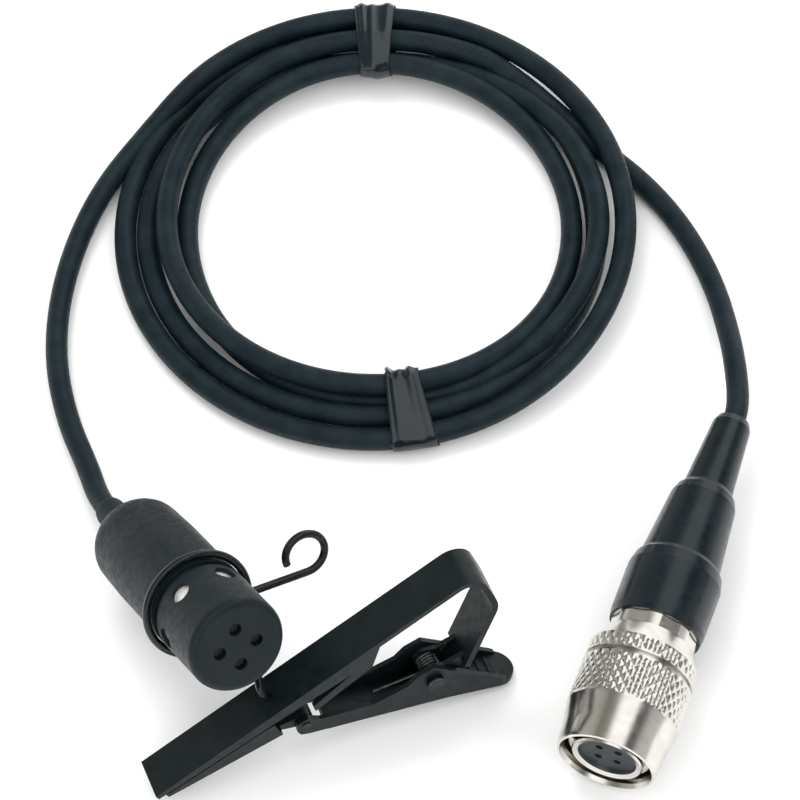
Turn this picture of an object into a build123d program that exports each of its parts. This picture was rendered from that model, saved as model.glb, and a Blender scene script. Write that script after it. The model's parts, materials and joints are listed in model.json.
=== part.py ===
"""Lavalier microphone on its coiled cable, with a wire holder ring, a tie clip and a push-pull connector.

Millimetres, +Z up. The origin is on the surface that everything lies on, under the middle of
the microphone and its clip. Each sub-assembly is modelled upright in a frame of its own and
then set down in its place: the microphone and the connector along their axes, the clip along
its bar.
"""

import os
from math import cos, pi, radians, sin, tan

from build123d import *

os.makedirs("parts", exist_ok=True)

# ---------------------------------------------------------------- driving dimensions
GAP = 0.15  # between neighbouring solids that only lie near each other

CABLE_D = 2.3
CABLE_R = CABLE_D / 2
FLOOR_CABLE_Z = CABLE_R + 0.05  # height of the centre of a cable that lies on the surface

# microphone body, along local +Z from its back end to its front face
MIC_R = 4.9
MIC_BACK_R = 4.65  # the rear shell tapers slightly towards its back
TAPER_END = 8.0
MIC_BACK_FACE = 0.5
MIC_LENGTH = 26.4
MIC_WALL = 0.65
MIC_BACK_ROUND = 3.2
NECK_START = 17.8  # the neck is the waist between the rear shell and the front cap
NECK_END = 18.5
NECK_R = 4.6
FRONT_WALL = 0.8
CAP_WALL = 0.45
CAP_ROUND = 0.75
SCREEN_SHEET = 0.12
PORT_D = 2.1
PORT_COUNT = 6
PORT_Z = 20.3
PORT_START = 55.0
FRONT_HOLE_D = 1.3
FRONT_HOLE_CIRCLE_R = 1.93
FRONT_HOLE_COUNT = 4
BOOT_LENGTH = 4.6
BOOT_R = 1.55
MIC_BACK = Vector(-17.59, 12.05, 5.2)
MIC_HEADING = -58.8  # degrees from +X, seen from above
MIC_SLOPE = 28.8  # the front is raised

# wire holder
WIRE_D = 0.8
RING_Z = 17.1  # along the microphone
RING_RUN = 0.05  # radial running clearance round the rear shell
RING_START = -12.0  # degrees; the finger-loop tail leaves here
RING_END = 308.0  # degrees; the foot leaves here
TAIL_ANGLE = -9.5
TAIL_LENGTH = 6.4
LOOP_R = 2.1
LOOP_SWEEP = 285.0
STUD_HEAD_R = 0.9

# tie clip, along local +X from the tip of the bar, +Z out of the bar's face
BAR_W = 4.45
SHEET = 0.6
STUD_X = 14.3
PIVOT = (27.2, -10.8)
JAW_PIN = (15.3, -4.8)
PIN_R = 0.7
JAW_PIN_R = 0.45
PIN_RUN = 0.05
LEVER_W = 4.0
PAD = Plane(origin=(31.4, 0, -17.4), x_dir=(0.79, 0, -0.61), z_dir=(0.61, 0, 0.79))  # thumb pad's face
PAD_NOSE = 2.1
RIB_COUNT = 5
RIB_PITCH = 0.9
EAR_W = 2.7
EAR_SHEET = 0.5
CLIP_TIP = Vector(-14.69, -14.2, 2.62)
CLIP_HEADING = 26.0
CLIP_SLOPE = 26.4
CLIP_ROLL = 10.0

# connector, along local +Z from its front rim to the back of its boot
SLEEVE_R = 5.6
SLEEVE_LENGTH = 13.5
SLEEVE_BORE = 4.45
SLEEVE_TRAVEL = 1.3
SHELL_R = 3.6
INSERT_R = 2.95
SHELL_BODY_R = 3.95
NUT_R = 4.35
NUT_START = 13.15
NUT_END = 17.2
BOOT_START = 15.1
BOOT_END = 40.8
CONTACT_COUNT = 4
CONTACT_CIRCLE_R = 1.35
CONTACT_R = 0.36
PLUG_FRONT = Vector(29.31, -13.85, SLEEVE_R + 0.02)
PLUG_HEADING = 69.8  # from the front rim to the boot

# coil
COIL_CENTRE = Vector(7.01, 50.45, 0)
COIL_INNER_R = 19.0
COIL_OUTER_R = 27.5
COIL_LOW = 0.35
COIL_HIGH = 4.95
COIL_ROUND = 2.1
TAPE = 0.3
TIE_FAR_ANGLE = 90.0
TIE_FAR_SPAN = 10.0
TIE_NEAR_ANGLE = -81.0
TIE_NEAR_SPAN = 11.0


# ---------------------------------------------------------------- frames
def heading_plane(origin, heading, slope):
    """Plane whose +Z runs along a heading and slope, with +X level and to the left of it."""
    level = Vector(cos(radians(heading)), sin(radians(heading)), 0)
    along = level * cos(radians(slope)) + Vector(0, 0, sin(radians(slope)))
    return Plane(origin=origin, x_dir=Vector(0, 0, 1).cross(level), z_dir=along)


def clip_plane():
    """The clip's plane: +X along the bar, +Z out of its face, rolled about the bar."""
    head = radians(CLIP_HEADING)
    slope = radians(CLIP_SLOPE)
    roll = radians(CLIP_ROLL)
    along = Vector(cos(slope) * cos(head), cos(slope) * sin(head), sin(slope))
    side = Vector(-sin(head), cos(head), 0)
    normal = along.cross(side) * cos(roll) + side * sin(roll)
    return Plane(origin=CLIP_TIP, x_dir=along, z_dir=normal)


MIC = heading_plane(MIC_BACK, MIC_HEADING, MIC_SLOPE)
PLUG = heading_plane(PLUG_FRONT, PLUG_HEADING, 0)
CLIP = clip_plane()
COIL = Plane(origin=COIL_CENTRE)


def save(name, part, plane=None):
    """Set a finished piece down in its place and write it as its own node."""
    placed = part if plane is None else part.moved(plane.location)
    placed.label = name
    export_step(placed, f"parts/{name}.step")
    return placed


# ---------------------------------------------------------------- helpers
def turned(outline):
    """Solid of revolution about local +Z from (radius, height) corners."""
    with BuildPart() as part:
        with BuildSketch(Plane.XZ):
            with BuildLine():
                Polyline(*outline, close=True)
            make_face()
        revolve(axis=Axis.Z)
    return part.part


def tube(path_points, radii, radius):
    """Round bar of straight runs joined by tangent arcs."""
    with BuildPart() as part:
        with BuildLine() as path:
            FilletPolyline(*path_points, radius=radii)
        with BuildSketch(Plane(origin=path.line @ 0, z_dir=path.line % 0)):
            Circle(radius)
        sweep()
    return part.part, path.wire().length


def corner_radii(points, label):
    """Each arc as large as its two runs allow; printed so that they can be read."""
    radii = []
    for before, here, after in zip(points, points[1:], points[2:]):
        run_in = Vector(*here) - Vector(*before)
        run_out = Vector(*after) - Vector(*here)
        half_turn = radians(run_in.get_angle(run_out)) / 2
        radii.append(0.45 * min(run_in.length, run_out.length) / tan(half_turn))
    print(label, "radii", [round(r, 1) for r in radii])
    return radii


# ---------------------------------------------------------------- microphone body
def mic_housing():
    back = turned(
        [(1.2, MIC_BACK_FACE), (MIC_BACK_R, MIC_BACK_FACE), (MIC_R, TAPER_END), (MIC_R, NECK_START),
         (NECK_R, NECK_START), (NECK_R, NECK_END), (NECK_R - MIC_WALL, NECK_END),
         (NECK_R - MIC_WALL, 2.2), (1.2, 2.2)]
    )
    with BuildPart() as part:
        add(back)
        back_edge = part.edges().filter_by(GeomType.CIRCLE).group_by(Axis.Z)[0].sort_by(SortBy.RADIUS)[-1]
        fillet(back_edge, MIC_BACK_ROUND)
    return part.part


def front_cap():
    spigot_r = NECK_R - MIC_WALL - 0.02
    bore_r = MIC_R - CAP_WALL
    shell = turned(
        [(spigot_r - 0.5, NECK_END - 1.6), (spigot_r, NECK_END - 1.6), (spigot_r, NECK_END + 0.05),
         (MIC_R, NECK_END + 0.05), (MIC_R, MIC_LENGTH), (0, MIC_LENGTH),
         (0, MIC_LENGTH - FRONT_WALL), (bore_r, MIC_LENGTH - FRONT_WALL), (bore_r, NECK_END + 0.55),
         (spigot_r - 0.5, NECK_END + 0.55)]
    )
    with BuildPart() as part:
        add(shell)
        front_edge = part.edges().filter_by(GeomType.CIRCLE).group_by(Axis.Z)[-1].sort_by(SortBy.RADIUS)[-1]
        fillet(front_edge, CAP_ROUND)
        with BuildSketch(Plane.XY.offset(MIC_LENGTH)):
            with PolarLocations(FRONT_HOLE_CIRCLE_R, FRONT_HOLE_COUNT, start_angle=-8):
                Circle(FRONT_HOLE_D / 2)
        extrude(amount=-2 * FRONT_WALL, mode=Mode.SUBTRACT)
        for index in range(PORT_COUNT):
            angle = radians(PORT_START + index * 360 / PORT_COUNT)
            outward = (cos(angle), sin(angle), 0)
            with BuildSketch(Plane(origin=(0, 0, PORT_Z), z_dir=outward)):
                Circle(PORT_D / 2)
            extrude(amount=MIC_R + 1, mode=Mode.SUBTRACT)
    return part.part


def port_screen():
    outer = MIC_R - CAP_WALL - 0.02
    inner = outer - SCREEN_SHEET
    return turned([(inner, 19.1), (outer, 19.1), (outer, 21.6), (inner, 21.6)])


def front_screen():
    top = MIC_LENGTH - FRONT_WALL - 0.02
    return turned([(0, top - 0.15), (4.1, top - 0.15), (4.1, top), (0, top)])


def electret_capsule():
    with BuildPart() as part:
        add(turned([(0, 18.9), (3.0, 18.9), (3.0, 24.9), (0, 24.9)]))
        with BuildSketch(Plane.XY.offset(24.9)):
            with PolarLocations(1.4, 5):
                Circle(0.3)
        extrude(amount=-0.4, mode=Mode.SUBTRACT)
    return part.part


def capsule_gasket():
    return turned([(3.03, 21.8), (4.3, 21.8), (4.3, 22.9), (3.6, 23.3), (3.6, 24.6), (3.03, 24.6)])


def circuit_board():
    return turned([(0, 16.0), (3.45, 16.0), (3.45, 16.8), (0, 16.8)])


def board_parts():
    with BuildPart() as part:
        with Locations((1.3, 0.6, 17.3)):
            Box(1.6, 1.2, 0.9)
        with Locations((-1.2, 1.0, 17.2)):
            Box(1.0, 0.6, 0.7)
        with Locations((-1.1, -1.2, 17.2)):
            Box(1.0, 0.6, 0.7)
    return part.part


def inner_wires():
    with BuildPart() as part:
        with BuildSketch(Plane.XY.offset(6.2)):
            with Locations((-0.45, 0), (0.45, 0)):
                Circle(0.28)
        extrude(amount=9.7)
    return part.part


def mic_cable_end():
    """The jacketed end of the cable, through the boot and up to the crimp."""
    return turned([(0, -BOOT_LENGTH), (CABLE_R, -BOOT_LENGTH), (CABLE_R, 6.1), (0, 6.1)])


def cable_crimp():
    return turned([(CABLE_R + 0.02, 2.25), (2.1, 2.25), (2.1, 4.8), (CABLE_R + 0.02, 4.8)])


def cable_boot():
    """Rubber strain relief, held by its flange inside the back wall."""
    hole = CABLE_R + 0.01
    return turned(
        [(hole, -BOOT_LENGTH), (BOOT_R - 0.15, -BOOT_LENGTH), (BOOT_R, -BOOT_LENGTH + 0.6),
         (BOOT_R + 0.35, MIC_BACK_FACE - 0.02), (hole, MIC_BACK_FACE - 0.02)]
    )


# ---------------------------------------------------------------- wire holder
def holder_ring(stud_top, stud_down):
    """One bent wire: finger loop, tail, hoop round the rear shell, foot and stud.

    stud_top is the clip hole's centre on the bar's face and stud_down the way through it,
    both in the microphone's own frame.
    """
    hoop_r = MIC_R + RING_RUN + WIRE_D / 2
    wire_r = WIRE_D / 2
    start = radians(RING_START)
    end = radians(RING_END)
    tail = radians(TAIL_ANGLE)
    hoop_start = Vector(hoop_r * cos(start), hoop_r * sin(start), RING_Z)
    hoop_end = Vector(hoop_r * cos(end), hoop_r * sin(end), RING_Z)
    tail_way = Vector(cos(tail), sin(tail), 0)
    knee = hoop_start + Vector(sin(start), -cos(start), 0) * 0.55
    tail_end = knee + tail_way * TAIL_LENGTH
    loop_centre = tail_end + Vector(-tail_way.Y, tail_way.X, 0) * LOOP_R
    foot_points = [
        hoop_end,
        hoop_end + Vector(-sin(end), cos(end), 0) * 0.5 + Vector(0.15, -0.15, 0.1),
        hoop_end + Vector(0.45, -0.5, 1.7),
        stud_top - stud_down * 1.3,
        stud_top + stud_down * (SHEET + 0.5),
    ]
    with BuildPart() as part:
        with BuildSketch(Plane.XZ.rotated((0, 0, RING_START))):
            with Locations((hoop_r, RING_Z)):
                Circle(wire_r)
        revolve(axis=Axis.Z, revolution_arc=RING_END - RING_START)
        with BuildLine() as bend:
            FilletPolyline(hoop_start, knee, knee + tail_way, radius=0.4)
        with BuildSketch(Plane(origin=hoop_start, z_dir=bend.line % 0)):
            Circle(wire_r)
        sweep(path=bend.line)
        with BuildSketch(Plane(origin=knee + tail_way, z_dir=tail_way)):
            Circle(wire_r)
        extrude(amount=TAIL_LENGTH - 1)
        with BuildSketch(Plane(origin=tail_end, x_dir=(0, 0, 1), z_dir=tail_way)):
            Circle(wire_r)
        revolve(axis=Axis(loop_centre, (0, 0, 1)), revolution_arc=LOOP_SWEEP)
        with BuildLine() as foot:
            FilletPolyline(*foot_points, radius=[0.4, 0.9, 0.9])
        with BuildSketch(Plane(origin=foot.line @ 0, z_dir=foot.line % 0)):
            Circle(wire_r)
        sweep(path=foot.line)
        with Locations(hoop_start, hoop_end):
            Sphere(wire_r)
        with BuildSketch(Plane(origin=stud_top + stud_down * (SHEET + 0.1), z_dir=stud_down)):
            Circle(STUD_HEAD_R)
        extrude(amount=0.4)
    return part.part


# ---------------------------------------------------------------- tie clip
def flange_outline():
    """Side flange of the bar, with the barb that stops the cloth."""
    return [
        (0, 0), (0, -SHEET), (14.0, -1.2), (22.6, -1.7), (17.4, -2.5), (17.2, -3.3),
        (24.4, -2.6), (26.8, -0.3), (26.8, 0),
    ]


def ear_outline():
    """Ear that runs from the foot of the bar's arm to the pivot."""
    return [
        (31.7, -10.7), (30.6, -11.75), (28.6, -12.2), (26.8, -12.0), (26.0, -10.9), (26.4, -9.8),
        (27.6, -9.5), (28.8, -10.5), (31.2, -10.9),
    ]


def clip_bar():
    half = BAR_W / 2
    outer_corners = [(0, 0), (38.5, 0), (37.5, -6.2), (30.7, -11.9)]
    inner_corners = [(0, -SHEET), (37.8, -SHEET), (36.94, -5.9), (30.31, -11.44)]
    with BuildPart() as part:
        with BuildSketch(Plane.XZ):
            with BuildLine():
                outer = FilletPolyline(*outer_corners, radius=[2.2, 3.0])
                inner = FilletPolyline(*inner_corners, radius=[1.6, 2.4])
                Line(outer @ 0, inner @ 0)
                Line(outer @ 1, inner @ 1)
            make_face()
        extrude(amount=half, both=True)
        for side in (-1, 1):
            with BuildSketch(Plane.XZ.offset(side * (half - 0.25))):
                with BuildLine():
                    Polyline(*flange_outline(), close=True)
                make_face()
            extrude(amount=0.25, both=True)
            with BuildSketch(Plane.XZ.offset(side * (EAR_W - EAR_SHEET) / 2)):
                with BuildLine():
                    Polyline(*ear_outline(), close=True)
                make_face()
            extrude(amount=EAR_SHEET / 2, both=True)
        with BuildSketch(Plane.XY):
            with Locations((STUD_X, 0)):
                Circle(WIRE_D / 2 + RING_RUN)
        extrude(amount=-2, mode=Mode.SUBTRACT)
        with BuildSketch(Plane.XZ):
            with Locations(PIVOT):
                Circle(PIN_R)
        extrude(amount=half + 1, both=True, mode=Mode.SUBTRACT)
    return part.part


def lever_wall():
    return [
        (14.2, -4.8), (14.8, -3.9), (16.0, -4.0), (16.7, -5.2), (21.2, -8.2), (25.0, -9.1),
        (26.4, -8.7), (28.2, -9.0), (29.2, -11.2), (30.6, -14.4), (32.1, -17.7), (31.8, -18.2),
        (26.8, -14.5), (14.8, -6.1), (14.2, -5.5),
    ]


def clip_lever():
    half = LEVER_W / 2
    with BuildPart() as part:
        for side in (-1, 1):
            with BuildSketch(Plane.XZ.offset(side * (half - 0.25))):
                with BuildLine():
                    Polyline(*lever_wall(), close=True)
                make_face()
            extrude(amount=0.25, both=True)
        with BuildSketch(Plane.XZ):
            with BuildLine():
                Polyline(
                    (16.7, -6.75), (27.0, -14.0), (31.4, -17.4), (33.0, -18.9), (32.6, -19.3),
                    (31.0, -17.95), (26.7, -14.5), (16.3, -7.2), close=True,
                )
            make_face()
        extrude(amount=half, both=True)
        with BuildSketch(PAD):
            with Locations((PAD_NOSE, 0)):
                Rectangle(2 * half, 3 * half)
            with Locations((PAD_NOSE - half, 0)):
                Circle(half, mode=Mode.SUBTRACT)
        extrude(amount=2, both=True, mode=Mode.SUBTRACT)
        for index in range(RIB_COUNT):
            with Locations(PAD * Location((-0.5 - index * RIB_PITCH, 0, 0.04))):
                Box(0.4, 2.6, 0.28)
        with BuildSketch(Plane.XZ):
            with Locations(PIVOT):
                Circle(PIN_R + PIN_RUN)
            with Locations(JAW_PIN):
                Circle(JAW_PIN_R)
        extrude(amount=half + 1, both=True, mode=Mode.SUBTRACT)
    return part.part


def pivot_pin():
    half = LEVER_W / 2
    with BuildPart() as part:
        with BuildSketch(Plane.XZ):
            with Locations(PIVOT):
                Circle(PIN_R)
        extrude(amount=half + GAP, both=True)
        for side in (-1, 1):
            with BuildSketch(Plane.XZ.offset(side * (half + GAP + 0.15))):
                with Locations(PIVOT):
                    Circle(PIN_R + 0.2)
            extrude(amount=0.2, both=True)
    return part.part


def jaw_pin():
    with BuildPart() as part:
        with BuildSketch(Plane.XZ):
            with Locations(JAW_PIN):
                Circle(JAW_PIN_R)
        extrude(amount=LEVER_W / 2 + 0.1, both=True)
    return part.part


def clip_jaw():
    """Floating lower jaw: a shallow channel with a barrel that turns on its pin."""
    half = BAR_W / 2
    barrel_half = LEVER_W / 2 - 0.5 - GAP
    with BuildPart() as part:
        with BuildSketch(Plane.XZ):
            with BuildLine():
                Polyline((0.8, -0.78), (0.8, -1.25), (13.2, -3.45), (13.4, -2.9), close=True)
            make_face()
        extrude(amount=half, both=True)
        for side in (-1, 1):
            with BuildSketch(Plane.XZ.offset(side * (half - 0.25))):
                with BuildLine():
                    Polyline((0.8, -0.78), (0.8, -1.25), (13.2, -3.45), (13.4, -1.4), (12.6, -1.3), close=True)
                make_face()
            extrude(amount=0.25, both=True)
        with BuildSketch(Plane.XZ):
            with Locations(JAW_PIN):
                Circle(0.95)
            with BuildLine():
                Polyline((12.3, -2.8), (15.4, -3.9), (15.3, -5.7), (12.4, -3.3), close=True)
            make_face()
        extrude(amount=barrel_half, both=True)
        with BuildSketch(Plane.XZ):
            with Locations(JAW_PIN):
                Circle(JAW_PIN_R + PIN_RUN)
        extrude(amount=half + 1, both=True, mode=Mode.SUBTRACT)
    return part.part


def torsion_spring():
    """Close-wound turns round the pivot pin with a leg along the lever and one on the arm."""
    wire = 0.2
    coil_r = PIN_R + 0.3
    turns = 4
    pitch = 1.9 * wire
    px, pz = PIVOT
    with BuildPart() as part:
        for index in range(turns):
            offset = (index - (turns - 1) / 2) * pitch
            with BuildSketch(Plane.XY.offset(pz)):
                with Locations((px + coil_r, offset)):
                    Circle(wire)
            revolve(axis=Axis((px, 0, pz), (0, 1, 0)))
        first = -(turns - 1) / 2 * pitch
        last = -first
        with BuildSketch(Plane(origin=(px, first, pz - coil_r), z_dir=(-6.6, 0, 4.3))):
            Circle(wire)
        extrude(amount=6.8)
        with BuildSketch(Plane(origin=(px, last, pz + coil_r), z_dir=(4.4, 0, -1.0))):
            Circle(wire)
        extrude(amount=2.8)
    return part.part


# ---------------------------------------------------------------- cable
MIC_STRAIGHT = 2.5  # straight cable left outside each boot
PLUG_STRAIGHT = 1.8
MIC_LEAD = [
    (-17.3, 62.8, FLOOR_CABLE_Z),
    (-21.7, 56.1, FLOOR_CABLE_Z),
    (-24.5, 48.8, FLOOR_CABLE_Z),
    (-26.0, 41.1, FLOOR_CABLE_Z),
    (-26.0, 33.8, FLOOR_CABLE_Z),
    (-24.4, 26.8, FLOOR_CABLE_Z),
    (-22.1, 21.4, FLOOR_CABLE_Z + 0.1),
]
PLUG_LEAD = [
    (30.8, 60.8, FLOOR_CABLE_Z),
    (34.9, 57.0, FLOOR_CABLE_Z),
    (38.4, 52.4, FLOOR_CABLE_Z),
    (41.0, 47.4, FLOOR_CABLE_Z),
    (42.7, 42.4, FLOOR_CABLE_Z + 0.15),
    (43.5, 37.4, 2.4),
    (43.9, 32.9, 4.0),
]


def lead(name, route, way, plane, exit_z):
    """Tube along a lead's own points, then straight into the piece whose frame is given."""
    exit_point = plane.from_local_coords(Vector(0, 0, exit_z))
    last = plane.from_local_coords(Vector(0, 0, exit_z + way))
    points = route + [tuple(last), tuple(exit_point)]
    solid, length = tube(points, corner_radii(points, name), CABLE_R)
    expected = pi * CABLE_R**2 * length
    print(name, "length", round(length, 1), "volume ratio", round(solid.volume / expected, 4))
    return solid


def coil_section():
    mid_r = (COIL_INNER_R + COIL_OUTER_R) / 2
    mid_z = (COIL_LOW + COIL_HIGH) / 2
    return (mid_r, mid_z), COIL_OUTER_R - COIL_INNER_R, COIL_HIGH - COIL_LOW


def cable_coil():
    centre, width, height = coil_section()
    with BuildPart() as part:
        with BuildSketch(Plane.XZ):
            with Locations(centre):
                RectangleRounded(width, height, COIL_ROUND)
        revolve(axis=Axis.Z)
    return part.part


def tie(angle, span):
    """Band of tape wrapped round the coil's section."""
    centre, width, height = coil_section()
    slack = 0.02
    with BuildPart() as part:
        with BuildSketch(Plane.XZ.rotated((0, 0, angle - span / 2))):
            with Locations(centre):
                RectangleRounded(width + 2 * (slack + TAPE), height + 2 * (slack + TAPE), COIL_ROUND + TAPE)
                RectangleRounded(width + 2 * slack, height + 2 * slack, COIL_ROUND, mode=Mode.SUBTRACT)
        revolve(axis=Axis.Z, revolution_arc=span)
    return part.part


# ---------------------------------------------------------------- connector
def coupling_sleeve():
    """Slides back over the nut; its inner shoulder rests on the shell's collar."""
    return turned(
        [(SLEEVE_BORE + 0.25, 0), (4.95, 0.15), (5.05, 0.5), (5.15, 2.4), (5.55, 4.7), (SLEEVE_R, 4.9),
         (SLEEVE_R, 9.4), (5.15, 9.48), (5.15, 9.95), (5.55, 10.0), (5.5, 11.7), (4.65, 13.3),
         (4.6, SLEEVE_LENGTH), (SLEEVE_BORE, SLEEVE_LENGTH), (SLEEVE_BORE, 10.8),
         (SHELL_BODY_R + 0.07, 10.8), (SHELL_BODY_R + 0.07, 10.05), (SLEEVE_BORE, 10.05), (SLEEVE_BORE, 0.4)]
    )


def plug_shell():
    return turned(
        [(INSERT_R + 0.02, 0.5), (SHELL_R - 0.15, 0.3), (SHELL_R, 0.5), (SHELL_R, 7.6), (4.35, 8.0),
         (4.35, 9.95), (SHELL_BODY_R, 9.95), (SHELL_BODY_R, 16.0), (INSERT_R + 0.02, 16.0)]
    )


def locking_claws():
    """Three latch tongues on a ring round the mating shell."""
    with BuildPart() as part:
        add(turned([(3.64, 1.2), (4.1, 1.2), (4.1, 2.2), (3.9, 2.4), (3.9, 7.4), (3.64, 7.4)]))
        for index in range(3):
            angle = radians(30 + index * 120)
            outward = (cos(angle), sin(angle), 0)
            with BuildSketch(Plane(origin=(0, 0, 3.0), x_dir=(0, 0, 1), z_dir=outward)):
                Rectangle(6.0, 3.0)
            extrude(amount=6, mode=Mode.SUBTRACT)
    return part.part


def contact_insert():
    with BuildPart() as part:
        add(turned([(0, 0.9), (INSERT_R, 0.9), (INSERT_R, 12.5), (0, 12.5)]))
        with BuildSketch(Plane.XY.offset(0.9)):
            with PolarLocations(CONTACT_CIRCLE_R, CONTACT_COUNT, start_angle=45):
                Circle(CONTACT_R + 0.02)
        extrude(amount=12, mode=Mode.SUBTRACT)
    return part.part


def socket_contacts():
    with BuildPart() as part:
        with BuildSketch(Plane.XY.offset(1.2)):
            with PolarLocations(CONTACT_CIRCLE_R, CONTACT_COUNT, start_angle=45):
                Circle(CONTACT_R)
                Circle(0.22, mode=Mode.SUBTRACT)
        extrude(amount=12.6)
    return part.part


def sleeve_spring():
    """Compression spring between the sleeve's shoulder and the nut."""
    wire = 0.19
    turns = 5
    low = 10.84 + wire
    high = NUT_START - 0.03 - wire
    with BuildPart() as part:
        for index in range(turns):
            z = low + (high - low) * index / (turns - 1)
            with BuildSketch(Plane.XZ):
                with Locations((SHELL_BODY_R + 0.27, z)):
                    Circle(wire)
            revolve(axis=Axis.Z)
        with BuildSketch(Plane.XY.offset(low)):
            with Locations((SHELL_BODY_R + 0.27, 0)):
                Circle(0.12)
        extrude(amount=high - low)
    return part.part


def clamp_nut():
    nut = turned(
        [(SHELL_BODY_R, NUT_START), (NUT_R, NUT_START), (NUT_R, NUT_END), (1.9, NUT_END), (1.9, 16.4),
         (SHELL_BODY_R, 16.1)]
    )
    with BuildPart() as part:
        add(nut)
        with BuildSketch(Plane.XY.offset(13.5)):
            Circle(NUT_R + 0.2)
            RegularPolygon(NUT_R - 0.13, 8, major_radius=False, mode=Mode.SUBTRACT)
        extrude(amount=1.6, mode=Mode.SUBTRACT)
    return part.part


def cable_collet():
    return turned([(CABLE_R + 0.02, 13.9), (2.3, 13.9), (2.3, 15.9), (1.85, 16.35), (CABLE_R + 0.02, 16.35)])


def plug_cable_end():
    return turned([(0, 14.1), (CABLE_R, 14.1), (CABLE_R, BOOT_END), (0, BOOT_END)])


def plug_boot():
    """Stepped rubber boot in three tapered stages."""
    hole = CABLE_R + 0.01
    return turned(
        [(NUT_R + 0.02, BOOT_START), (4.65, BOOT_START), (4.8, 15.9), (4.82, 21.2), (4.55, 22.4),
         (4.1, 23.0), (3.4, 30.4), (3.1, 31.3), (2.55, 32.0), (1.98, 39.8), (1.7, 40.5), (1.3, BOOT_END),
         (hole, BOOT_END), (hole, NUT_END + 0.02), (NUT_R + 0.02, NUT_END + 0.02)]
    )


# ---------------------------------------------------------------- build
def build():
    nodes = {}

    def keep(name, part, plane=None):
        nodes[name] = save(name, part, plane)

    for make in (mic_housing, front_cap, port_screen, front_screen, electret_capsule, capsule_gasket,
                 circuit_board, board_parts, inner_wires, mic_cable_end, cable_crimp, cable_boot):
        keep(make.__name__, make(), MIC)

    stud_point = CLIP.from_local_coords(Vector(STUD_X, 0, 0))
    stud_top = MIC.to_local_coords(stud_point)
    stud_down = MIC.to_local_coords(stud_point - CLIP.z_dir) - stud_top
    keep("holder_ring", holder_ring(stud_top, stud_down), MIC)

    for make in (clip_bar, clip_lever, clip_jaw, pivot_pin, jaw_pin, torsion_spring):
        keep(make.__name__, make(), CLIP)

    keep("cable_coil", cable_coil(), COIL)
    keep("tie_far", tie(TIE_FAR_ANGLE, TIE_FAR_SPAN), COIL)
    keep("tie_near", tie(TIE_NEAR_ANGLE, TIE_NEAR_SPAN), COIL)
    keep("mic_lead", lead("mic_lead", MIC_LEAD, -MIC_STRAIGHT, MIC, -BOOT_LENGTH))
    keep("plug_lead", lead("plug_lead", PLUG_LEAD, PLUG_STRAIGHT, PLUG, BOOT_END))

    for make in (coupling_sleeve, plug_shell, locking_claws, contact_insert, socket_contacts,
                 sleeve_spring, clamp_nut, cable_collet, plug_cable_end, plug_boot):
        keep(make.__name__, make(), PLUG)
    return nodes


build()
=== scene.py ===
"""Looks of the lavalier microphone: its coiled cable, tape ties, knurled connector, springs,
materials, floor, light and camera. Lengths are in metres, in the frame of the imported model.
"""

import json
from math import cos, exp, pi, radians, sin, sqrt

import bmesh
import bpy
from mathutils import Matrix, Vector, noise


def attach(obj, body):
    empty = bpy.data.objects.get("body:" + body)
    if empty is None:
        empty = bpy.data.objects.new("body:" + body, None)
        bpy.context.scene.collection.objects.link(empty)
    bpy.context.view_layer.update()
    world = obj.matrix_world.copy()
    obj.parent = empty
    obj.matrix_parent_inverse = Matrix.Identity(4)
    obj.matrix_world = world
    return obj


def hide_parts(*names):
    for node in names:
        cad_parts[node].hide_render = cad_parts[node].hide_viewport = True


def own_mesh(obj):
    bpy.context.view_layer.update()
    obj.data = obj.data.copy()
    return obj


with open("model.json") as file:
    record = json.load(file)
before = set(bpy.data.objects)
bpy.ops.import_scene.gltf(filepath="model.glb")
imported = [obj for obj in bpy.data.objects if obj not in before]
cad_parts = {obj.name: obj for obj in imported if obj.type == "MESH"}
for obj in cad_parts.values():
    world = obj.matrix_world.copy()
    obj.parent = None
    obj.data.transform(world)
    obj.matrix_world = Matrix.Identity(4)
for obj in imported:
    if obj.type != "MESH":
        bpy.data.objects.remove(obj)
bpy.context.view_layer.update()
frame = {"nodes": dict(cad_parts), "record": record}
MM = 0.001


# ---------------------------------------------------------------- axes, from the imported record
def joint(name):
    return next(j for j in frame["record"]["behaviour"]["joints"] if j["name"] == name)


def mount(name):
    return next(m for m in frame["record"]["mounts"] if m["name"] == name)


def upright(origin, along):
    """Matrix of a frame whose +Z runs along the given way and whose +X is level."""
    z = Vector(along).normalized()
    x = Vector((0, 0, 1)).cross(z).normalized()
    y = z.cross(x)
    return Matrix.Translation(origin) @ Matrix((x, y, z)).transposed().to_4x4()


RING_Z = 17.1 * MM  # the wire ring's place along the microphone
MIC_AXIS = Vector(joint("ring_turn")["axis"])
MIC = upright(Vector(joint("ring_turn")["pos_m"]) - MIC_AXIS * RING_Z, MIC_AXIS)
PLUG = upright(mount("plug_face")["pos_m"], joint("sleeve_pull")["axis"])
CLIP_Z = Vector(joint("clip_swivel")["axis"])
CLIP_Y = -Vector(joint("lever_squeeze")["axis"])
CLIP_X = CLIP_Y.cross(CLIP_Z)
PIVOT = Vector(joint("lever_squeeze")["pos_m"])

# ---------------------------------------------------------------- cable route
CABLE_D = 2.3 * MM
CABLE_R = CABLE_D / 2
MIC_BOOT = 4.6 * MM
PLUG_END = 40.8 * MM
MIC_STRAIGHT = 2.5 * MM  # straight cable left outside each boot
PLUG_STRAIGHT = 1.8 * MM
COIL_X = 7.01 * MM
COIL_Y = 50.45 * MM

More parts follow.
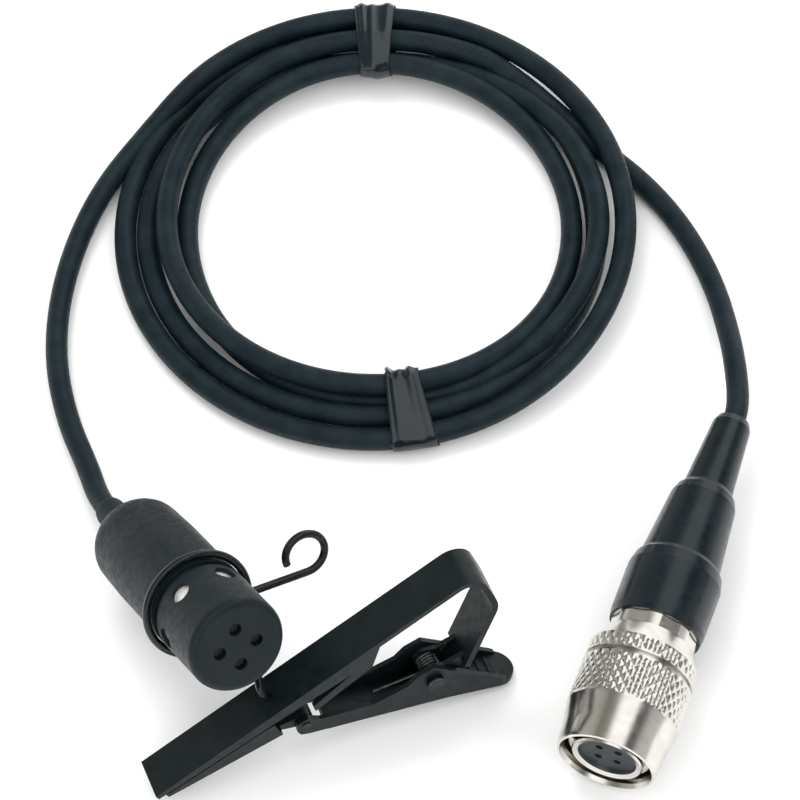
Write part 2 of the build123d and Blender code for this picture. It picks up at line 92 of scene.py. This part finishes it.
MIC_LEAD = [
    (-17.3, 62.8, 1.2),
    (-21.7, 56.1, 1.2),
    (-24.5, 48.8, 1.2),
    (-26.0, 41.1, 1.2),
    (-26.0, 33.8, 1.2),
    (-24.4, 26.8, 1.2),
    (-22.1, 21.4, 1.3),
]
PLUG_LEAD = [
    (30.8, 60.8, 1.2),
    (34.9, 57.0, 1.2),
    (38.4, 52.4, 1.2),
    (41.0, 47.4, 1.2),
    (42.7, 42.4, 1.35),
    (43.5, 37.4, 2.4),
    (43.9, 32.9, 4.0),
]
COIL_START = 138.0  # degrees; the turns run clockwise, seen from above
COIL_END = -1396.0
COIL_STEP = 13.0
# Radius and height of the cable at four stations of each turn, in millimetres:
# under the far tie, on the right, under the near tie and on the left.
TURNS = [
    ((26.3, 3.0), (26.3, 3.3), (25.9, 1.5), (26.4, 1.2)),
    ((24.7, 1.5), (23.3, 1.2), (23.4, 1.9), (24.0, 1.3)),
    ((21.4, 1.5), (23.5, 3.5), (21.3, 1.5), (19.8, 1.4)),
    ((20.2, 3.1), (20.7, 1.5), (20.7, 3.7), (21.9, 3.5)),
    ((23.1, 3.4), (26.9, 1.2), (26.9, 1.2), (26.9, 1.2)),
]
FAR_ANGLE = 90.0
STATION = 90.0


def eased(t):
    return t * t * (3 - 2 * t)


def coil_place(angle):
    """(radius, height) of the cable at an angle that keeps falling as the turns go on."""
    along = (FAR_ANGLE - angle) / STATION
    first = int(along // 1)
    share = eased(along - first)
    stops = [stop for turn in TURNS for stop in turn]
    here = stops[max(first, 0)]
    after = stops[max(first + 1, 0)]
    return [(a + (b - a) * share) * MM for a, b in zip(here, after)]


def coil_point(angle, stretch=1.0):
    radius, height = coil_place(angle)
    turn = radians(angle)
    return Vector((COIL_X + cos(turn) * radius * stretch, COIL_Y + sin(turn) * radius * stretch, height))


def cable_route():
    """Control points from the microphone's boot, round the coil and into the connector's boot."""
    points = [MIC @ Vector((0, 0, -MIC_BOOT)), MIC @ Vector((0, 0, -MIC_BOOT - MIC_STRAIGHT))]
    points += [Vector(p) * MM for p in reversed(MIC_LEAD)]
    stretch = 1 / cos(radians(COIL_STEP / 2))  # the curve passes inside its control points
    angle = COIL_START
    while angle > COIL_END:
        points.append(coil_point(angle, stretch))
        angle -= COIL_STEP
    points += [Vector(p) * MM for p in PLUG_LEAD]
    points += [PLUG @ Vector((0, 0, PLUG_END + PLUG_STRAIGHT)), PLUG @ Vector((0, 0, PLUG_END))]
    return points


def spline_object(name, points, radius, resolution=6, sides=5):
    data = bpy.data.curves.new(name, "CURVE")
    data.dimensions = "3D"
    data.bevel_depth = radius
    data.bevel_resolution = sides
    data.resolution_u = resolution
    data.use_fill_caps = True
    spline = data.splines.new("NURBS")
    spline.points.add(len(points) - 1)
    for spot, p in zip(spline.points, points):
        spot.co = (*p, 1)
    spline.order_u = 3
    spline.use_endpoint_u = True
    piece = bpy.data.objects.new(name, data)
    bpy.context.collection.objects.link(piece)
    return piece


# ---------------------------------------------------------------- mesh helpers
def mesh_object(name, verts, faces):
    data = bpy.data.meshes.new(name)
    data.from_pydata([tuple(v) for v in verts], [], faces)
    data.validate()
    piece = bpy.data.objects.new(name, data)
    bpy.context.collection.objects.link(piece)
    tidy = bmesh.new()
    tidy.from_mesh(data)
    bmesh.ops.recalc_face_normals(tidy, faces=tidy.faces)
    tidy.to_mesh(data)
    tidy.free()
    for face in data.polygons:
        face.use_smooth = True
    return piece


def lathe(name, outline, place, around=96, relief=None):
    """Closed ring of (radius, height) corners about +Z; relief(angle, height) adds to the radius."""
    verts = []
    faces = []
    count = len(outline)
    for i in range(around):
        angle = 2 * pi * i / around
        for radius, height, raised in outline:
            r = radius + (relief(angle, height) if relief and raised else 0)
            verts.append(place @ Vector((r * cos(angle), r * sin(angle), height)))
    for i in range(around):
        after = (i + 1) % around
        for k in range(count):
            nxt = (k + 1) % count
            faces.append((i * count + k, after * count + k, after * count + nxt, i * count + nxt))
    return mesh_object(name, verts, faces)


def sharpen(piece, angle=35):
    """Keeps the real corners of a smooth-shaded piece crisp."""
    data = piece.data
    edges = bmesh.new()
    edges.from_mesh(data)
    for edge in edges.edges:
        if len(edge.link_faces) == 2 and edge.calc_face_angle(0) > radians(angle):
            edge.smooth = False
    edges.to_mesh(data)
    edges.free()


# ---------------------------------------------------------------- materials
class Paint:
    """A material on one Principled shader, with short calls for its procedural detail."""

    def __init__(self, name, colour, roughness, metallic=0.0, **settings):
        self.material = bpy.data.materials.new(name)
        self.material.use_nodes = True
        self.tree = self.material.node_tree
        self.shader = self.tree.nodes["Principled BSDF"]
        self.shader.inputs["Base Color"].default_value = (*colour, 1)
        self.shader.inputs["Roughness"].default_value = roughness
        self.shader.inputs["Metallic"].default_value = metallic
        for label, value in settings.items():
            self.shader.inputs[label.replace("_", " ")].default_value = value
        self.place = self.tree.nodes.new("ShaderNodeTexCoord").outputs["Object"]
        self.normal = None

    def node(self, kind, **inputs):
        made = self.tree.nodes.new("ShaderNode" + kind)
        for label, value in inputs.items():
            socket = made.inputs[label.replace("_", " ")]
            if isinstance(value, bpy.types.NodeSocket):
                self.tree.links.new(value, socket)
            else:
                socket.default_value = value
        return made

    def noise(self, per_mm, detail=4.0):
        return self.node("TexNoise", Vector=self.place, Scale=per_mm / MM, Detail=detail).outputs["Fac"]

    def ramp(self, factor, low, high, start=0.35, end=0.65):
        made = self.node("ValToRGB", Fac=factor)
        made.color_ramp.elements[0].position = start
        made.color_ramp.elements[1].position = end
        made.color_ramp.elements[0].color = low
        made.color_ramp.elements[1].color = high
        return made.outputs["Color"]

    def tint(self, factor, low, high, start=0.35, end=0.65):
        colour = self.ramp(factor, (*low, 1), (*high, 1), start, end)
        self.tree.links.new(colour, self.shader.inputs["Base Color"])

    def rough(self, factor, low, high, start=0.35, end=0.65):
        grey = self.ramp(factor, (low, low, low, 1), (high, high, high, 1), start, end)
        self.tree.links.new(grey, self.shader.inputs["Roughness"])

    def bump(self, height, depth, strength=1.0):
        """Relief of the given depth; each further call adds to those before it."""
        made = self.node("Bump", Height=height, Distance=depth, Strength=strength)
        if self.normal:
            self.tree.links.new(self.normal, made.inputs["Normal"])
        self.normal = made.outputs["Normal"]
        self.tree.links.new(self.normal, self.shader.inputs["Normal"])


def cable_jacket():
    paint = Paint("cable_jacket", (0.005, 0.013, 0.018), 0.6, Specular_IOR_Level=0.21)
    paint.tint(paint.noise(0.4, 4), (0.003, 0.010, 0.014), (0.008, 0.017, 0.022))
    paint.rough(paint.noise(2.5, 4), 0.42, 0.62)
    paint.bump(paint.noise(9.0, 3), 0.012 * MM, 0.6)
    return paint.material


def mic_paint():
    paint = Paint("mic_black", (0.004, 0.010, 0.013), 0.5, Specular_IOR_Level=0.22)
    paint.tint(paint.noise(0.35, 4), (0.004, 0.009, 0.012), (0.007, 0.012, 0.015))
    paint.rough(paint.noise(1.6, 5), 0.4, 0.56)
    paint.bump(paint.noise(16.0, 2), 0.002 * MM, 0.5)
    return paint.material


def clip_paint():
    paint = Paint("clip_enamel", (0.003, 0.008, 0.009), 0.42, Specular_IOR_Level=0.22)
    paint.tint(paint.noise(0.5, 5), (0.003, 0.007, 0.008), (0.006, 0.011, 0.012))
    paint.rough(paint.noise(1.2, 5), 0.3, 0.5)
    paint.bump(paint.noise(5.0, 4), 0.01 * MM, 0.6)
    return paint.material


def ring_enamel():
    paint = Paint("ring_enamel", (0.003, 0.006, 0.007), 0.26,
                  Specular_IOR_Level=0.3, Coat_Weight=0.2, Coat_Roughness=0.12)
    paint.tint(paint.noise(1.2, 4), (0.002, 0.004, 0.005), (0.007, 0.010, 0.011))
    paint.rough(paint.noise(1.0, 4), 0.16, 0.32)
    return paint.material


def rubber_matte():
    paint = Paint("soft_rubber", (0.005, 0.012, 0.015), 0.62, Specular_IOR_Level=0.22)
    paint.tint(paint.noise(1.0, 3), (0.004, 0.010, 0.013), (0.008, 0.014, 0.018))
    paint.bump(paint.noise(8.0, 3), 0.012 * MM, 0.6)
    return paint.material


def boot_gloss():
    paint = Paint("boot_gloss", (0.004, 0.009, 0.012), 0.26,
                  Specular_IOR_Level=0.3, Coat_Weight=0.15, Coat_Roughness=0.18)
    paint.tint(paint.noise(0.4, 3), (0.003, 0.008, 0.011), (0.006, 0.012, 0.016))
    paint.rough(paint.noise(0.8, 5), 0.22, 0.36)
    paint.bump(paint.noise(2.2, 4), 0.012 * MM, 0.5)
    return paint.material


def bright_nickel():
    """Warm bright nickel with very faint turning marks."""
    paint = Paint("bright_nickel", (0.66, 0.64, 0.6), 0.2, metallic=1.0)
    paint.tint(paint.noise(0.5, 4), (0.62, 0.6, 0.56), (0.7, 0.68, 0.64))
    paint.rough(paint.noise(1.2, 5), 0.17, 0.24)
    paint.bump(paint.noise(20.0, 2), 0.001 * MM, 0.3)
    return paint.material


def plain_metal(name, low, high, rough_low, rough_high):
    paint = Paint(name, low, rough_low, metallic=1.0)
    paint.tint(paint.noise(1.5, 4), low, high)
    paint.rough(paint.noise(2.5, 5), rough_low, rough_high)
    paint.bump(paint.noise(10.0, 3), 0.004 * MM, 0.5)
    return paint.material


def plain_plastic(name, low, high, rough_low, rough_high):
    paint = Paint(name, low, rough_low)
    paint.tint(paint.noise(1.0, 4), low, high)
    paint.rough(paint.noise(2.0, 4), rough_low, rough_high)
    paint.bump(paint.noise(9.0, 3), 0.008 * MM, 0.5)
    return paint.material


def screen_mesh():
    """Fine silvery wire cloth: bright wires round small cells darkened with painted shade, standing in for
    the shaded openings between the wires.
    """
    paint = Paint("screen_mesh", (0.75, 0.75, 0.73), 0.35, metallic=0.55)
    cells = paint.node("TexVoronoi", Vector=paint.place, Scale=5.0 / MM, Randomness=0.25)
    # painted shade: the cell middles are darker, as the openings of the cloth look with the shaded inside
    # behind them
    paint.tint(cells.outputs["Distance"], (0.5, 0.5, 0.49), (0.95, 0.95, 0.93), 0.1, 0.6)
    paint.rough(paint.noise(3.0, 3), 0.28, 0.45)
    paint.bump(cells.outputs["Distance"], 0.02 * MM, 0.6)
    return paint.material


def front_cloth():
    """Dark woven cloth behind the front holes."""
    paint = Paint("front_cloth", (0.03, 0.03, 0.034), 0.8, Sheen_Weight=0.2)
    cells = paint.node("TexVoronoi", Vector=paint.place, Scale=6.0 / MM, Randomness=0.15)
    paint.tint(cells.outputs["Distance"], (0.045, 0.046, 0.05), (0.015, 0.015, 0.017), 0.1, 0.6)
    paint.bump(cells.outputs["Distance"], 0.02 * MM, 0.6)
    return paint.material


def circuit_board():
    paint = Paint("circuit_board", (0.02, 0.13, 0.05), 0.35)
    cells = paint.node("TexVoronoi", Vector=paint.place, Scale=1.1 / MM)
    paint.tint(cells.outputs["Distance"], (0.015, 0.1, 0.04), (0.03, 0.2, 0.08), 0.3, 0.36)
    paint.bump(cells.outputs["Distance"], 0.02 * MM, 0.4)
    return paint.material


def tape_gloss():
    paint = Paint("tape_gloss", (0.004, 0.009, 0.012), 0.2,
                  Specular_IOR_Level=0.25, Coat_Weight=0.5, Coat_Roughness=0.08)
    paint.tint(paint.noise(0.6, 4), (0.003, 0.008, 0.011), (0.006, 0.012, 0.016))
    paint.rough(paint.noise(1.1, 5), 0.14, 0.28)
    paint.bump(paint.noise(1.3, 4), 0.06 * MM, 0.5)
    return paint.material


SHADES = {
    "cable_jacket": cable_jacket(),
    "mic_black": mic_paint(),
    "clip_enamel": clip_paint(),
    "ring_enamel": ring_enamel(),
    "soft_rubber": rubber_matte(),
    "boot_gloss": boot_gloss(),
    "bright_nickel": bright_nickel(),
    "screen_mesh": screen_mesh(),
    "front_cloth": front_cloth(),
    "circuit_board": circuit_board(),
    "tape_gloss": tape_gloss(),
    "capsule_metal": plain_metal("capsule_metal", (0.66, 0.66, 0.67), (0.8, 0.8, 0.81), 0.25, 0.4),
    "crimp_brass": plain_metal("crimp_brass", (0.6, 0.44, 0.2), (0.76, 0.58, 0.3), 0.25, 0.42),
    "pin_steel": plain_metal("pin_steel", (0.03, 0.035, 0.038), (0.055, 0.06, 0.065), 0.3, 0.45),
    "spring_steel": plain_metal("spring_steel", (0.06, 0.065, 0.07), (0.11, 0.115, 0.12), 0.25, 0.4),
    "contact_gold": plain_metal("contact_gold", (0.75, 0.55, 0.22), (0.9, 0.7, 0.34), 0.15, 0.28),
    "chip_black": plain_plastic("chip_black", (0.02, 0.02, 0.022), (0.035, 0.035, 0.038), 0.4, 0.6),
    "wire_insulation": plain_plastic("wire_insulation", (0.4, 0.03, 0.02), (0.5, 0.05, 0.04), 0.35, 0.5),
    "insert_black": plain_plastic("insert_black", (0.006, 0.012, 0.016), (0.012, 0.019, 0.024), 0.45, 0.6),
}


def dress(piece, shade):
    piece.data.materials.clear()
    piece.data.materials.append(SHADES[shade])


def dress_cad():
    """Each CAD piece keeps its shape and takes the material of its slot."""
    for part in frame["record"]["subparts"]:
        piece = frame["nodes"][part["node"]]
        for slot in piece.material_slots:
            slot.material = SHADES[part["material_slot"]]


# ---------------------------------------------------------------- tape ties
TAPE = 0.16 * MM
OUTER, INNER = 1, -1
FAR_FOLDS = [
    (0.82, 0.1, 0.3, OUTER),
    (0.55, 0.07, 0.12, OUTER),
    (0.18, 0.13, 0.35, OUTER),
    (0.5, 0.36, 0.5, INNER),
]
NEAR_FOLDS = [(0.07, 0.1, 0.5, INNER), (0.4, 0.09, 0.1, INNER), (0.74, 0.12, 0.34, INNER)]


def outline_round(places, reach, count=64):
    """Points of the taut loop round several circles of one radius, as (radius, height)."""
    loop = []
    for i in range(count):
        angle = 2 * pi * i / count
        way = Vector((cos(angle), sin(angle)))
        far = max(places, key=lambda p: Vector(p).dot(way))
        loop.append(Vector(far) + way * reach)
    return loop


def tie(name, angle, span, lean, folds):
    """Strip of glossy tape wound round all the turns at one angle.

    Each fold is (place across the strip from 0 to 1, width, height in millimetres, side); it
    stands out on the side away from the coil's middle or towards it, and dies out beyond.
    """
    passes = [angle - 360 * k for k in range(-1, 5)]
    places = [tuple(coil_place(a)) for a in passes if COIL_END < a < COIL_START]
    middle = Vector((sum(q[0] for q in places), sum(q[1] for q in places))) / len(places)
    ends = {OUTER: max(q[0] for q in places), INNER: min(q[0] for q in places)}
    steps = 28
    count = 72
    verts = []
    faces = []
    for layer in (0, 1):
        for s in range(steps + 1):
            share = s / steps
            for k, p in enumerate(outline_round(places, CABLE_R + 0.05 * MM, count)):
                around = 2 * pi * k / count
                out = (p - middle).normalized()
                wrinkle = noise.noise(Vector((cos(around) * 2.2, sin(around) * 2.2, share * 2.6 + angle)))
                upper = min(1, max(0, p.y / CABLE_R - 0.4))
                fold = 0
                for at, wide, tall, side in folds:
                    inward = max(0, (ends[side] - p.x) * side)
                    fold += tall * exp(-((share - at) / wide) ** 2 - inward / (3.2 * MM))
                pull = (0.06 * (0.6 + wrinkle) + fold) * MM * upper
                q = p + out * (layer * TAPE + pull)
                swing = lean * (p.y / MM - 2.4)
                turn = radians(angle + (share - 0.5) * span + swing + 0.5 * wrinkle)
                height = max(q.y, 0.03 * MM)
                verts.append((COIL_X + cos(turn) * q.x, COIL_Y + sin(turn) * q.x, height))
    row = count
    sheet = (steps + 1) * row
    for s in range(steps):
        for k in range(count):
            nxt = (k + 1) % count
            a, b = s * row + k, s * row + nxt
            c, d = b + row, a + row
            faces.append((a, b, c, d))
            faces.append((a + sheet, d + sheet, c + sheet, b + sheet))
    for k in range(count):
        nxt = (k + 1) % count
        last = steps * row
        faces.append((k, k + sheet, nxt + sheet, nxt))
        faces.append((last + k, last + nxt, last + nxt + sheet, last + k + sheet))
    piece = mesh_object(name, verts, faces)
    dress(piece, "tape_gloss")
    return piece


# ---------------------------------------------------------------- connector
SLEEVE_R = 5.6 * MM
KNURL_TEETH = 34
KNURL_PITCH = 1.24  # along the sleeve, in millimetres
KNURL_DEPTH = 0.18 * MM
KNURL_FADE = 0.25
WIDE_BAND = (4.9, 9.4)  # heights of the two knurled bands, in millimetres
NARROW_BAND = (10.05, 11.6)
BAND_SPLIT = 10 * MM


def knurl(angle, height):
    """Diamond knurl: two crossing sets of grooves in the wide and the narrow band of the sleeve."""
    start, end = WIDE_BAND if height < BAND_SPLIT else NARROW_BAND
    z = height / MM
    fade = min(1, max(0, (z - start) / KNURL_FADE), max(0, (end - z) / KNURL_FADE))
    wave = 2 * pi * (z - start) / KNURL_PITCH
    turn = KNURL_TEETH * angle
    groove = abs(sin((turn + wave) / 2)) * abs(sin((turn - wave) / 2))
    return -KNURL_DEPTH * (1 - sqrt(groove)) * fade


def coupling_sleeve():
    outer = [(5.05, 0.45), (5.15, 2.4), (5.5, 4.55), (5.58, 4.75)]
    outline = [(4.7 * MM, 0, False), (4.92 * MM, 0.08 * MM, False)]
    outline += [(r * MM, z * MM, False) for r, z in outer]
    rows = 40
    outline += [(SLEEVE_R, (4.85 + 4.6 * i / rows) * MM, True) for i in range(rows + 1)]
    outline += [(r * MM, z * MM, False) for r, z in ((5.17, 9.5), (5.15, 9.92), (5.5, 9.98))]
    outline += [(5.55 * MM, (10.05 + 1.55 * i / 14) * MM, True) for i in range(15)]
    inner = ((4.65, 13.3), (4.6, 13.5), (4.47, 13.5), (4.47, 10.8), (4.02, 10.8), (4.02, 10.05),
             (4.45, 10.05))
    outline += [(r * MM, z * MM, False) for r, z in inner]
    outline.append((4.45 * MM, 0.4 * MM, False))
    piece = lathe("knurled_sleeve", outline, PLUG, around=408, relief=knurl)
    sharpen(piece, 30)
    dress(piece, "bright_nickel")
    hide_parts("coupling_sleeve")
    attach(piece, "sleeve")
    return piece


# ---------------------------------------------------------------- springs
def helix(name, place, radius, low, high, turns, wire, lead_in=(), lead_out=()):
    """Wound wire along local +Z of a frame, with straight legs at its ends."""
    points = [Vector(p) for p in lead_in]
    per_turn = 16
    for i in range(int(turns * per_turn) + 1):
        angle = 2 * pi * i / per_turn
        height = low + (high - low) * i / (turns * per_turn)
        points.append(place @ Vector((radius * cos(angle), radius * sin(angle), height)))
    points += [Vector(p) for p in lead_out]
    return spline_object(name, points, wire, resolution=4, sides=3)


def torsion_spring():
    base = Matrix.Translation(PIVOT) @ Matrix((CLIP_X, -CLIP_Z, CLIP_Y)).transposed().to_4x4()
    radius = 1.0 * MM
    half = 0.75 * MM
    leg_a = PIVOT - CLIP_Y * half + CLIP_Z * -radius - CLIP_X * 5.4 * MM + CLIP_Z * 3.6 * MM
    leg_b = PIVOT + CLIP_Y * half + CLIP_Z * radius * 0.9 + CLIP_X * 2.8 * MM - CLIP_Z * 0.7 * MM
    piece = helix("wound_torsion_spring", base, radius, -half, half, 4.25, 0.19 * MM, [leg_a], [leg_b])
    dress(piece, "spring_steel")
    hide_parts("torsion_spring")
    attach(piece, "lever")


def as_mesh(curve):
    """The same piece as a mesh."""
    bpy.context.view_layer.update()
    solid = bpy.data.meshes.new_from_object(curve.evaluated_get(bpy.context.evaluated_depsgraph_get()))
    name = curve.name
    bpy.data.objects.remove(curve)
    piece = bpy.data.objects.new(name, solid)
    bpy.context.collection.objects.link(piece)
    return piece


def sleeve_spring():
    low, high = 11.05 * MM, 12.9 * MM
    piece = as_mesh(helix("wound_sleeve_spring", PLUG, 4.22 * MM, low, high, 5, 0.18 * MM))
    dress(piece, "spring_steel")
    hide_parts("sleeve_spring")
    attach(piece, "microphone")
    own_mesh(piece)  # gives the spring its own copy of its mesh
    return piece


# ---------------------------------------------------------------- build
def soften_edges():
    """Small rounds on the sheet-metal and turned pieces, so that their edges catch the light."""
    widths = {"clip_bar": 0.1, "clip_lever": 0.09, "clip_jaw": 0.08, "front_cap": 0.08, "clamp_nut": 0.08}
    for node, width in widths.items():
        piece = frame["nodes"][node]
        bevel = piece.modifiers.new("edge_round", "BEVEL")
        bevel.width = width * MM
        bevel.segments = 2
        bevel.limit_method = "ANGLE"
        bevel.angle_limit = radians(40)
        bevel.harden_normals = True


def build_cable():
    piece = spline_object("cable", cable_route(), CABLE_R, resolution=6, sides=6)
    dress(piece, "cable_jacket")
    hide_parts("mic_lead", "cable_coil", "plug_lead")
    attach(piece, "microphone")


def build_object():
    dress_cad()
    far = tie("far_tape", 90.0, 9.2, 0.25, FAR_FOLDS)
    near = tie("near_tape", -81.3, 9.8, -0.4, NEAR_FOLDS)
    for piece, node in ((far, "tie_far"), (near, "tie_near")):
        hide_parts(node)
        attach(piece, "microphone")
    sleeve = coupling_sleeve()
    spring = sleeve_spring()
    torsion_spring()
    soften_edges()
    build_cable()


# ---------------------------------------------------------------- studio
LOOK_AT = Vector((9.61 * MM, 30.15 * MM, 0))
DISTANCE = 0.4
ELEVATION = radians(59)
FOCAL_SHARE = 4.85  # focal length over frame width
TO_CAMERA = Vector((0, -cos(ELEVATION), sin(ELEVATION)))
# Surroundings as the shiny pieces mirror them, from the left (0) to the right (1) of the connector.
PANELS = [
    (0.0, (0.6, 0.59, 0.56)),
    (0.1, (0.45, 0.44, 0.41)),
    (0.17, (0.2, 0.19, 0.17)),
    (0.29, (0.34, 0.33, 0.3)),
    (0.38, (1.5, 1.5, 1.5)),
    (0.63, (1.5, 1.5, 1.5)),
    (0.69, (0.1, 0.105, 0.11)),
    (0.79, (0.12, 0.12, 0.12)),
    (0.87, (0.6, 0.59, 0.57)),
    (1.0, (0.7, 0.69, 0.67)),
]


def studio_floor():
    data = bpy.data.meshes.new("floor")
    half = 1.5
    corners = [(-half, -half, 0), (half, -half, 0), (half, half, 0), (-half, half, 0)]
    data.from_pydata(corners, [], [(0, 1, 2, 3)])
    floor = bpy.data.objects.new("floor", data)
    bpy.context.collection.objects.link(floor)
    paint = Paint("floor", (0.95, 0.95, 0.95), 0.8)
    paint.tint(paint.noise(0.01, 3), (0.94, 0.94, 0.94), (0.96, 0.96, 0.96))
    data.materials.append(paint.material)


def soft_light(name, place, size, power):
    data = bpy.data.lights.new(name, "AREA")
    data.shape = "SQUARE"
    data.size = size
    data.energy = power
    lamp = bpy.data.objects.new(name, data)
    lamp.location = place
    lamp.rotation_euler = (LOOK_AT - Vector(place)).to_track_quat("-Z", "Y").to_euler()
    lamp.visible_glossy = False
    bpy.context.collection.objects.link(lamp)


def studio_world():
    """Even white tent; the shiny pieces mirror a bright panel between darker ones instead."""
    world = bpy.data.worlds.new("studio")
    world.use_nodes = True
    tree = world.node_tree
    across = (PLUG.to_3x3() @ Vector((0, 0, 1))).cross(TO_CAMERA).normalized()
    side = tree.nodes.new("ShaderNodeVectorMath")
    side.operation = "DOT_PRODUCT"
    side.inputs[1].default_value = across * 0.5
    tree.links.new(tree.nodes.new("ShaderNodeTexCoord").outputs["Generated"], side.inputs[0])
    shift = tree.nodes.new("ShaderNodeMath")
    shift.inputs[1].default_value = 0.5
    tree.links.new(side.outputs["Value"], shift.inputs[0])
    ramp = tree.nodes.new("ShaderNodeValToRGB")
    tree.links.new(shift.outputs[0], ramp.inputs["Fac"])
    stops = ramp.color_ramp.elements
    stops[0].position, stops[0].color = PANELS[0][0], (*PANELS[0][1], 1)
    stops[1].position, stops[1].color = PANELS[-1][0], (*PANELS[-1][1], 1)
    for place, colour in PANELS[1:-1]:
        stops.new(place).color = (*colour, 1)
    mirrored = tree.nodes.new("ShaderNodeBackground")
    tree.links.new(ramp.outputs["Color"], mirrored.inputs["Color"])
    tent = tree.nodes["Background"]
    tent.inputs["Color"].default_value = (1, 1, 1, 1)
    tent.inputs["Strength"].default_value = 1.2
    mix = tree.nodes.new("ShaderNodeMixShader")
    tree.links.new(tree.nodes.new("ShaderNodeLightPath").outputs["Is Glossy Ray"], mix.inputs[0])
    tree.links.new(tent.outputs[0], mix.inputs[1])
    tree.links.new(mirrored.outputs[0], mix.inputs[2])
    tree.links.new(mix.outputs[0], tree.nodes["World Output"].inputs["Surface"])
    bpy.context.scene.world = world


def camera():
    data = bpy.data.cameras.new("camera")
    data.sensor_width = 36
    data.lens = 36 * FOCAL_SHARE
    data.clip_start = 0.01
    data.dof.use_dof = False
    eye = bpy.data.objects.new("camera", data)
    eye.location = LOOK_AT + TO_CAMERA * DISTANCE
    eye.rotation_euler = TO_CAMERA.to_track_quat("Z", "Y").to_euler()
    bpy.context.collection.objects.link(eye)
    bpy.context.scene.camera = eye


def studio():
    studio_floor()
    studio_world()
    soft_light("key", (-0.2, 0.35, 0.6), 0.35, 1.8)
    soft_light("fill", (0.45, -0.25, 0.5), 0.5, 0.8)
    camera()
    bpy.context.scene.view_settings.view_transform = "Standard"


build_object()
studio()
